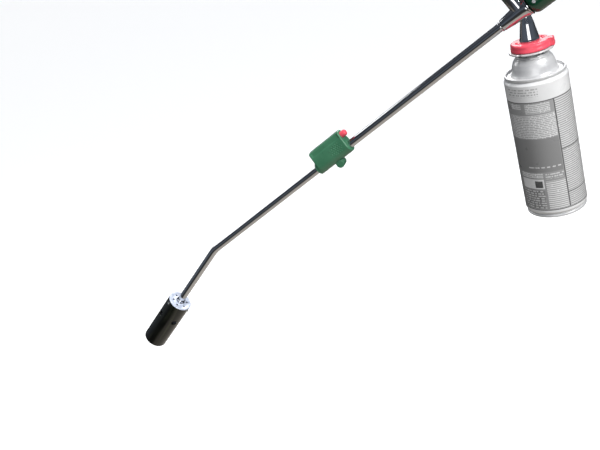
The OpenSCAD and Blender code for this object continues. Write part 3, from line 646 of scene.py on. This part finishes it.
# the collar flange: turned sheet, with a notch where its rim is drawn in over a few degrees
def flangeShape(radius, height, angle):
    near = np.abs((np.degrees(angle) - 62 + 180) % 360 - 180)
    notch = np.clip((6.2 - near) / 1.0, 0, 1)
    rim = np.clip((radius - 20.0 * mm) / (0.6 * mm), 0, 1)
    return radius - notch * rim * 2.4 * mm, height


flangeProfile = rounded([
    (14.6, 20.5, 0.1), (17.8, 20.5, 0.8), (18.9, 22.35, 0.8), (20.3, 22.45), (22.15, 22.5, 0.3),
    (22.3, 21.7, 0.2), (22.75, 21.7, 0.2), (22.8, 22.8, 0.5), (22.3, 23.3, 0.5), (20.4, 23.25),
    (18.7, 23.1, 1.0), (17.4, 21.25, 0.8), (14.6, 21.2, 0.1)], closed=True)
fit(turnedPiece("cartridgeFlange", flangeProfile, onCan, 360, flangeShape, upright=True), "tin", "cartridge",
    "steel", "cartridge_flange")
print("cartridge done")

# ---- hand grip: a turned swell with four shallow finger waves underneath ----
grip = {"front": -6.0, "back": -126.0, "radius": 12.6, "swell": 2.0, "waves": 4, "waveDepth": 0.5,
        "screwAt": -13.5, "screwTurn": 83, "screwRadius": 1.85}


def makeGrip():
    share = np.linspace(0, 1, 90)
    run = grip["front"] - 6 - (grip["front"] - grip["back"] - 6) * share
    radius = grip["radius"] + grip["swell"] * np.sin(math.pi * share) ** 2 + 0.9 * share ** 4
    nose = rounded([
        (6.05, -6.02), (8.2, -6.02, 1.2), (10.6, -7.4, 2.2), (11.9, -9.8, 2.0), (12.6, -12.4)], steps=8)
    tail = rounded([(13.5, -126.0), (13.2, -126.02, 0.2), (6.05, -126.02), (6.05, -16.4)])
    swell = np.stack([radius, run], -1)[1:-1] * mm
    profile = np.concatenate([nose, swell, tail])

    def waves(radiusGrid, runGrid, angle):
        along = (grip["front"] * mm - runGrid) / ((grip["front"] - grip["back"]) * mm)
        waved = np.clip((along - 0.12) / 0.76, 0, 1)
        under = np.clip(-np.cos(angle), 0, 1) ** 2
        middle = np.clip(np.sin(math.pi * waved), 0, 1)
        wave = 0.5 - 0.5 * np.cos(2 * math.pi * grip["waves"] * waved)
        outside = radiusGrid > 11.5 * mm
        return radiusGrid - outside * under * middle * wave * grip["waveDepth"] * mm

    obj = turnedPiece("handGrip", profile, onLance, 144, waves)
    flank = turnedRound(shifted(onLance, x=grip["screwAt"]), grip["screwTurn"])
    return carve(obj, [barCutter(grip["screwRadius"], 4, 16, flank, upright=True)])


fit(makeGrip(), "gripGreen", "torch", "grip_green", "hand_grip")
print("grip done")


# ---- igniter housing: half an outline carried along the lance, thickened inwards, then bored ----
box = {"start": 246.0, "length": 48.0, "half": 9.5, "topHalf": 6.4, "top": 21.6, "bottomCentre": 1.5,
       "corner": 3.4, "wall": 1.2, "edge": 1.5, "parting": 0.03, "button": 15.0, "buttonBore": 4.2,
       "lugAt": 24.0, "lugDown": -10.5, "lugRadius": 5.0, "webHalf": 4.6, "collarRadius": 8.0,
       "screwRadius": 2.15}


# half the section as (y, height) points from the bottom of the parting line to its top:
# a half circle round the lance, a side that leans inwards as it rises, a rounded corner and a flat lid
def halfSection(inset):
    half, topHalf = box["half"] - inset, box["topHalf"] - inset
    round1 = np.linspace(-math.pi / 2, 0, 22)
    lower = np.stack([half * np.cos(round1), box["bottomCentre"] + half * np.sin(round1)], -1)
    corner = box["corner"] - inset * 0.5
    high = box["top"] - inset
    height = np.linspace(box["bottomCentre"], high - corner, 26)[1:-1]
    rise = (height - box["bottomCentre"]) / (high - corner - box["bottomCentre"])
    wall = np.stack([half - (half - topHalf) * rise ** 1.4, height], -1)
    round2 = np.linspace(0, math.pi / 2, 12)
    upper = np.stack([topHalf - corner + corner * np.cos(round2),
                      high - corner + corner * np.sin(round2)], -1)
    lid = np.stack([np.linspace(topHalf - corner, 0, 6)[1:], np.full(5, high)], -1)
    return np.concatenate([lower, wall, upper, lid])


# where the side stands at a given height, in millimetres
def sideAt(height):
    span = box["top"] - box["corner"] - box["bottomCentre"]
    rise = np.clip((height - box["bottomCentre"]) / span, 0, 1)
    return box["half"] - (box["half"] - box["topHalf"]) * rise ** 1.4


# small round grip studs: each is a low dome, in staggered rows over the side's rear half
def makeStuds(sign):
    dome = rounded([(0, 0.48), (0.5, 0.42), (0.92, 0.08), (0.98, -0.8), (0, -0.8)])
    grids = []
    for row in range(5):
        for column in range(6):
            along = box["start"] + 5.5 + column * 3.0 + (row % 2) * 1.5
            high = 1.5 + row * 2.5
            if row in (0, 4) and column in (0, 5):
                continue
            local = turnedUp(dome, 14)
            points = np.stack([local[..., 0], sign * (local[..., 2] + sideAt(high) * mm), local[..., 1]], -1)
            grids.append((onLance(points + np.array([along, 0, high]) * mm), gridFaces(len(dome), 14)))
    return makeMesh("studs", grids)


# one face of the half box as a grid: sections along the lance, drawn in towards both ends over a
# quarter circle and then closed on the middle plane; the upper side of the outer face steps in a little
def skinGrid(sign, inset, edge):
    start, end = box["start"] + inset, box["start"] + box["length"] - inset
    arc = np.linspace(0, math.pi / 2, 7)
    rows = []
    for squeeze in (0.0, 0.35, 0.7):
        section = halfSection(inset + edge) * [squeeze, 1]
        rows.append(np.column_stack([np.full(len(section), start), section]))
    for a in arc:
        section = halfSection(inset + edge * (1 - math.sin(a)))
        rows.append(np.column_stack([np.full(len(section), start + edge * (1 - math.cos(a))), section]))
    for along in np.linspace(start + edge, end - edge, 60)[1:-1]:
        section = halfSection(inset)
        step = np.clip((section[:, 1] - 14.6) / 0.6, 0, 1) * np.clip((section[:, 0] - 4) / 2, 0, 1)
        taper = np.clip((end - edge - 1.0 - along) / 1.0, 0, 1) * np.clip((along - start - edge) / 1.0, 0, 1)
        section = section - np.column_stack([(inset == 0) * step * taper * 0.8, np.zeros(len(section))])
        rows.append(np.column_stack([np.full(len(section), along), section]))
    for a in arc[::-1]:
        section = halfSection(inset + edge * (1 - math.sin(a)))
        rows.append(np.column_stack([np.full(len(section), end - edge * (1 - math.cos(a))), section]))
    for squeeze in (0.7, 0.35, 0.0):
        section = halfSection(inset + edge) * [squeeze, 1]
        rows.append(np.column_stack([np.full(len(section), end), section]))
    grid = np.stack(rows) * mm
    grid[..., 1] = grid[..., 1] * sign + sign * box["parting"] * mm
    return onLance(grid)


# outer and inner faces, bridged by a rim that lies on the parting plane
def solidShell(name, sign):
    outer = skinGrid(sign, 0.0, box["edge"])
    inner = skinGrid(sign, box["wall"], 0.5)
    rows, cols = outer.shape[:2]
    faces = gridFaces(rows, cols, closedCols=False)
    index = np.arange(rows * cols).reshape(rows, cols)
    border = np.concatenate([index[0, :-1], index[:-1, -1], index[-1, :0:-1], index[:0:-1, 0]])
    following = np.roll(border, -1)
    far = rows * cols
    rim = np.stack([border, following, following + far, border + far], -1)
    both = np.stack([outer, inner])
    obj = makeMesh(name, [(both, np.concatenate([faces, faces + far, rim]))])
    start, front, parting = box["start"], box["start"] + box["length"], sign * box["parting"]
    lugAt = start + box["lugAt"]
    lug = shifted(onLance, x=lugAt, z=box["lugDown"])
    low, high = sorted((parting, sign * 6.0))
    lugProfile = rounded([(0, low), (box["lugRadius"], low, 0.01 if sign > 0 else 0.9),
                          (box["lugRadius"], high, 0.9 if sign > 0 else 0.01), (0, high)])
    post = turnedPiece("lug", lugProfile, across(lug), 64, upright=True, closed=False)
    near, far = sorted((parting, sign * 5.4))
    web = boxCutter(lugAt - box["webHalf"], lugAt + box["webHalf"], near, far, -10.5, -6.2)
    collarBar = barCutter(box["collarRadius"], front - 1.7, front + 3.5, onLance, count=96)
    keep = boxCutter(start, start + 60, *sorted((parting, sign * 20)), -12, 12)
    carve(collarBar, [keep], "INTERSECT")
    carve(obj, [post, web, collarBar, makeStuds(sign)], "UNION")
    above = shifted(onLance, z=box["button"])
    cutters = [barCutter(lance["radius"] + lance["clearance"], start - 3, front + 8, onLance, count=96),
               barCutter(box["buttonBore"], start - 3, start + 4, above, count=64)]
    if sign < 0:
        for along, height in ((box["lugAt"], box["lugDown"]), (6.0, 7.6), (31.0, 7.6)):
            spot = shifted(onLance, x=start + along, z=height)
            cutters.append(barCutter(box["screwRadius"], -12, -5, across(spot), upright=True))
    return carve(obj, cutters, sharp=35)


# a plain block to carve with, set on the lance, in millimetres
def boxCutter(x1, x2, y1, y2, z1, z2):
    x, y, z = np.meshgrid([x1, x2], [y1, y2], [z1, z2], indexing="ij")
    points = np.stack([x, y, z], -1).reshape(-1, 3) * mm
    faces = np.array([[0, 1, 3, 2], [4, 6, 7, 5], [0, 4, 5, 1], [2, 3, 7, 6], [0, 2, 6, 4], [1, 5, 7, 3]])
    return makeMesh("block", [(onLance(points), faces)])


fit(solidShell("igniterShellLeft", 1), "boxGreen", "torch", "box_green", "igniter_shell_left")
fit(solidShell("igniterShellRight", -1), "boxGreen", "torch", "box_green", "igniter_shell_right")

buttonProfile = rounded([
    (0, 239.5), (2.2, 239.5, 1.0), (3.3, 240.0, 0.9), (3.85, 241.4, 1.0), (3.9, 248.2), (5, 248.2, 0.2),
    (5, 249.4, 0.2), (0, 249.4)], steps=8)
button = turnedPiece("igniterButton", buttonProfile, shifted(onLance, z=box["button"]), 96, closed=False)
fit(button, "red", "button", "red_plastic", "igniter_button")

# return spring behind the button: a small ring of points carried along a helix, closed at both ends
spring = {"start": 249.5, "length": 7.3, "radius": 4.1, "wire": 0.3, "turns": 5}


def makeSpring():
    turn = np.linspace(0, 2 * math.pi * spring["turns"], spring["turns"] * 28 + 1)[:, None]
    around = np.linspace(0, 2 * math.pi, 10, endpoint=False)[None, :]
    free = spring["length"] - 2 * spring["wire"]
    centre = spring["wire"] + free * turn / turn[-1]
    radius = spring["radius"] + spring["wire"] * np.cos(around)
    coil = np.stack([centre + spring["wire"] * np.sin(around), radius * np.sin(turn),
                     radius * np.cos(turn)], -1)
    middle = np.concatenate([coil[:1].mean(1, keepdims=True).repeat(10, 1), coil,
                             coil[-1:].mean(1, keepdims=True).repeat(10, 1)])
    return makeMesh("buttonSpring", [(shifted(onLance, x=spring["start"], z=box["button"])(middle * mm),
                                      gridFaces(len(middle), 10))])


coil = fit(makeSpring(), "steel", "torch", "steel", "button_spring")
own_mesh(coil)
print("igniter done")

# ---- burner ----
cup = {"radius": 16.0, "wall": 1.2, "length": 84.0, "holeAt": 30.0, "holeRadius": 4.0, "holeTurn": 42.0,
       "rivetAt": 6.0, "rivetTurn": 48.0, "rivetHole": 1.33}
plate = {"vents": 6, "ventRadius": 1.6, "ventAt": 9.8}


# the three bars that leave the rivets' holes
def rivetCutters():
    places = [turnedRound(shifted(onLeg, x=cup["rivetAt"]), cup["rivetTurn"] + 120 * i) for i in range(3)]
    return [barCutter(cup["rivetHole"], 10, 20, around, upright=True, count=32) for around in places]


def makeCup():
    outer, inner = cup["radius"], cup["radius"] - cup["wall"]
    runs = [(outer, x) for x in np.linspace(4, cup["length"] - 3, 24)]
    back = [(inner, x) for x in np.linspace(cup["length"] - 3, 4, 24)]
    profile = rounded([(inner, 1.56, 0.2), (outer, 1.56, 0.3)] + runs + [
        (outer, cup["length"], 0.5), (inner, cup["length"], 0.4)] + back, closed=True)
    obj = turnedPiece("burnerCup", profile, onLeg, 128)
    cutters = []
    for i in range(4):
        around = turnedRound(shifted(onLeg, x=cup["holeAt"]), cup["holeTurn"] + 90 * i)
        cutters.append(barCutter(cup["holeRadius"], 10, 20, around, upright=True))
    return carve(obj, cutters + rivetCutters(), sharp=35)


fit(makeCup(), "cup", "torch", "cup_black", "burner_cup")


def makePlate():
    skirt = cup["radius"] - cup["wall"] - 0.05
    profile = rounded([
        (4.78, 0, 0.1), (7.4, 0), (7.8, 0.25), (12.6, 0.25), (13.0, 0), (15.4, 0, 0.5), (15.9, 0.5, 0.3),
        (15.9, 1.5, 0.1), (skirt, 1.5, 0.1), (skirt, 10, 0.2), (skirt - 0.8, 10, 0.2),
        (skirt - 0.8, 1.5, 0.3), (4.78, 1.5, 0.1)], closed=True)
    obj = turnedPiece("burnerPlate", profile, onLeg, 128)
    cutters = []
    for i in range(plate["vents"]):
        around = turnedRound(onLeg, 30 + 360 / plate["vents"] * i)
        cutters.append(barCutter(plate["ventRadius"], -2, 5, shifted(around, z=plate["ventAt"]), count=32))
    return carve(obj, cutters + rivetCutters(), sharp=35)


fit(makePlate(), "zinc", "torch", "zinc", "burner_plate")


def makeHubNut():
    hexNut = rounded([(0, -4.05), (5.4, -4.05, 0.4), (6.35, -3.4, 0.3), (6.35, -1.05), (0, -1.05)])
    sides = 6

    def flats(radius, run, angle):
        folded = (angle + math.pi / sides) % (2 * math.pi / sides) - math.pi / sides
        return np.minimum(radius, 5.5 * mm / np.cos(folded))

    nut = turnedPiece("burnerNut", hexNut, onLeg, 144, flats, closed=False)
    washer = rounded([(0, -1.1), (6.25, -1.1, 0.3), (6.25, -0.05, 0.2), (0, -0.05)])
    carve(nut, [turnedPiece("washer", washer, onLeg, 96, closed=False)], "UNION")
    return carve(nut, [barCutter(lance["radius"] + lance["clearance"], -8, 5, onLeg, count=64)], sharp=30)


fit(makeHubNut(), "chrome", "torch", "chrome", "burner_nut")


def makeRivets():
    grids = []
    head = rounded([
        (0, 13.4), (1.3, 13.4), (1.3, 15.9), (2.25, 16.06, 0.1), (2.1, 16.5, 0.5), (1.3, 17.0, 0.6),
        (0, 17.15)])
    for i in range(3):
        place = turnedRound(shifted(onLeg, x=cup["rivetAt"]), cup["rivetTurn"] + 120 * i)
        points = place(turnedUp(head, 40))
        grids.append((points, gridFaces(len(head), 40)))
    return makeMesh("burnerRivets", grids)


fit(makeRivets(), "steel", "torch", "steel", "burner_rivets")
print("burner done")

# ---- regulator knob: a turned cap with twelve finger flutes ----
knob = {"flutes": 12, "fluteDepth": 1.5}


def fluted(radius, height, angle):
    wave = np.clip(np.cos(angle * knob["flutes"]) * 1.6 - 0.35, 0, 1)
    outer = np.clip((radius - 12.5 * mm) / (1.5 * mm), 0, 1)
    return radius - outer * wave * knob["fluteDepth"] * mm, height


knobProfile = rounded([
    (3.03, 33.0), (5.5, 33.0), (5.5, 41.0), (12, 41.0), (12, 31.0, 0.3), (12.7, 31.0, 0.3),
    (14.6, 32.0, 0.8), (15, 35, 2), (15, 38), (15, 42), (15, 45.5, 2), (14.2, 48.6, 2), (12, 49.9, 1.5),
    (6.2, 49.9, 0.5), (5.53, 49.3), (5.53, 45.5), (1.33, 45.5), (1.33, 43.5), (3.03, 43.5)], closed=True)
fit(turnedPiece("regulatorKnob", knobProfile, onStem, 288, fluted, upright=True, sharp=45), "red",
    "regulator", "red_plastic", "regulator_knob")
print("knob done")

# ---- finishes of the CAD nodes that stay as they are ----
slotFinish = {"chrome": "chrome", "brass": "brass", "steel": "steel", "zinc": "zinc", "cup_black": "cup",
              "grip_green": "gripGreen", "box_green": "boxGreen", "red_plastic": "red",
              "black_plastic": "black", "white_plastic": "white", "rubber": "rubber",
              "ceramic": "ceramic", "tinplate": "tin"}
nodeSlots = {part["node"]: part["material_slot"] for part in frame["record"]["subparts"]}
for name, obj in frame["nodes"].items():
    obj.data.materials.clear()
    obj.data.materials.append(materials[slotFinish[nodeSlots[name]]])

# ---- floor, camera and light ----
stage = {"floor": -1.15, "floorSize": 60.0, "backdropRadius": 29.0, "lens": 51.287}


def addFloor():
    half = stage["floorSize"] / 2
    mesh = bpy.data.meshes.new("floor")
    z = stage["floor"]
    corners = [(-half, -half, z), (half, -half, z), (half, half, z), (-half, half, z)]
    mesh.from_pydata(corners, [], [(0, 1, 2, 3)])
    floor = bpy.data.objects.new("floor", mesh)
    bpy.context.scene.collection.objects.link(floor)
    mat, tree, shader = startMaterial("floorFinish")
    shader.inputs["Base Color"].default_value = (0.92, 0.92, 0.92, 1)
    shader.inputs["Roughness"].default_value = 0.9
    shader.inputs["Emission Color"].default_value = (1, 1, 1, 1)
    shader.inputs["Emission Strength"].default_value = 0.16
    mesh.materials.append(mat)
    floor.visible_diffuse = False  # keeps the undersides and the chrome from being flooded with white
    floor.visible_glossy = False


# a plain pale wall all round, far behind everything: a turned strip, seen from the inside
def addBackdrop():
    strip = np.array([[stage["backdropRadius"], -3.0], [stage["backdropRadius"], 30.0]])
    wall = makeMesh("backdrop", [(turnedUp(strip, 64), gridFaces(2, 64))])
    mat, tree, shader = startMaterial("backdropFinish")
    shader.inputs["Base Color"].default_value = (0.9, 0.9, 0.9, 1)
    shader.inputs["Emission Color"].default_value = (0.95, 0.96, 0.98, 1)
    shader.inputs["Emission Strength"].default_value = 0.7
    wall.data.materials.append(mat)
    wall.visible_diffuse = wall.visible_glossy = wall.visible_shadow = False


# the camera's right, down and forward directions in the object's frame, and its place
def addCamera():
    right = np.array([-0.91766, -0.29542, -0.26599])
    down = np.array([0.10720, 0.46015, -0.88147])
    ahead = np.array([0.38264, -0.83741, -0.39053])
    data = bpy.data.cameras.new("camera")
    data.lens = stage["lens"]
    data.sensor_width = 36.0
    camera = bpy.data.objects.new("camera", data)
    spot = np.array([-0.09902 + canX, 0.89107, 0.26970 + seamZ])
    camera.matrix_world = Matrix([
        [right[0], -down[0], -ahead[0], spot[0]],
        [right[1], -down[1], -ahead[1], spot[1]],
        [right[2], -down[2], -ahead[2], spot[2]],
        [0, 0, 0, 1]])
    bpy.context.scene.collection.objects.link(camera)
    bpy.context.scene.camera = camera


def addLight(name, place, target, size, power, colour=(1, 1, 1)):
    data = bpy.data.lights.new(name, "AREA")
    data.shape = "RECTANGLE"
    data.size, data.size_y = size
    data.energy = power
    data.color = colour
    light = bpy.data.objects.new(name, data)
    aim = Vector(target) - Vector(place)
    light.rotation_euler = aim.to_track_quat("-Z", "Y").to_euler()
    light.location = place
    bpy.context.scene.collection.objects.link(light)


# one wide, distant light keeps the floor evenly pale right to the far edge
def addDaylight(direction, strength, spread):
    data = bpy.data.lights.new("daylight", "SUN")
    data.energy = strength
    data.angle = math.radians(spread)
    light = bpy.data.objects.new("daylight", data)
    light.rotation_euler = Vector(direction).to_track_quat("-Z", "Y").to_euler()
    light.visible_glossy = False
    bpy.context.scene.collection.objects.link(light)


addFloor()
addCamera()
addBackdrop()
addDaylight((0.25, -0.35, -1.0), 2.75, 50)
addLight("key", (-1.9, 1.1, 1.3), (0.2, 0, -0.1), (0.8, 0.8), 58)
addLight("strip", (-0.2, 2.4, 0.02), (0.15, 0, -0.1), (1.5, 0.8), 10)
addLight("rim", (1.9, -0.8, 0.7), (0.3, 0, -0.2), (0.4, 1.0), 8)
addLight("back", (0.4, -2.4, 1.1), (0.3, 0, -0.15), (1.6, 1.0), 34)


# the studio's walls: dim above, a little darker at eye level and pale only underneath
def addWalls():
    studio = bpy.data.worlds.new("studio")
    studio.use_nodes = True
    tree = studio.node_tree
    direction = addNode(tree, "ShaderNodeTexCoord").outputs["Generated"]
    height = addNode(tree, "ShaderNodeSeparateXYZ", {0: direction})
    ramp = addNode(tree, "ShaderNodeValToRGB", {0: rangeOf(tree, height.outputs[2], 0.0, 1.0, -1.0, 1.0)})
    stops = [(0.0, (0.66, 0.61, 0.54, 1)), (0.17, (0.62, 0.57, 0.51, 1)), (0.24, (0.05, 0.05, 0.045, 1)),
             (0.44, (0.05, 0.053, 0.058, 1)), (0.53, (0.15, 0.17, 0.205, 1)), (0.60, (0.10, 0.12, 0.15, 1)),
             (0.74, (0.05, 0.057, 0.07, 1)), (1.0, (0.17, 0.19, 0.22, 1))]
    bands = ramp.color_ramp.elements
    bands[0].position, bands[0].color = stops[0]
    bands[1].position, bands[1].color = stops[-1]
    for place, colour in stops[1:-1]:
        bands.new(place).color = colour
    tree.links.new(ramp.outputs[0], tree.nodes["Background"].inputs[0])
    return studio


bpy.context.scene.world = addWalls()
bpy.context.scene.view_settings.view_transform = "Standard"

print("scene ready")
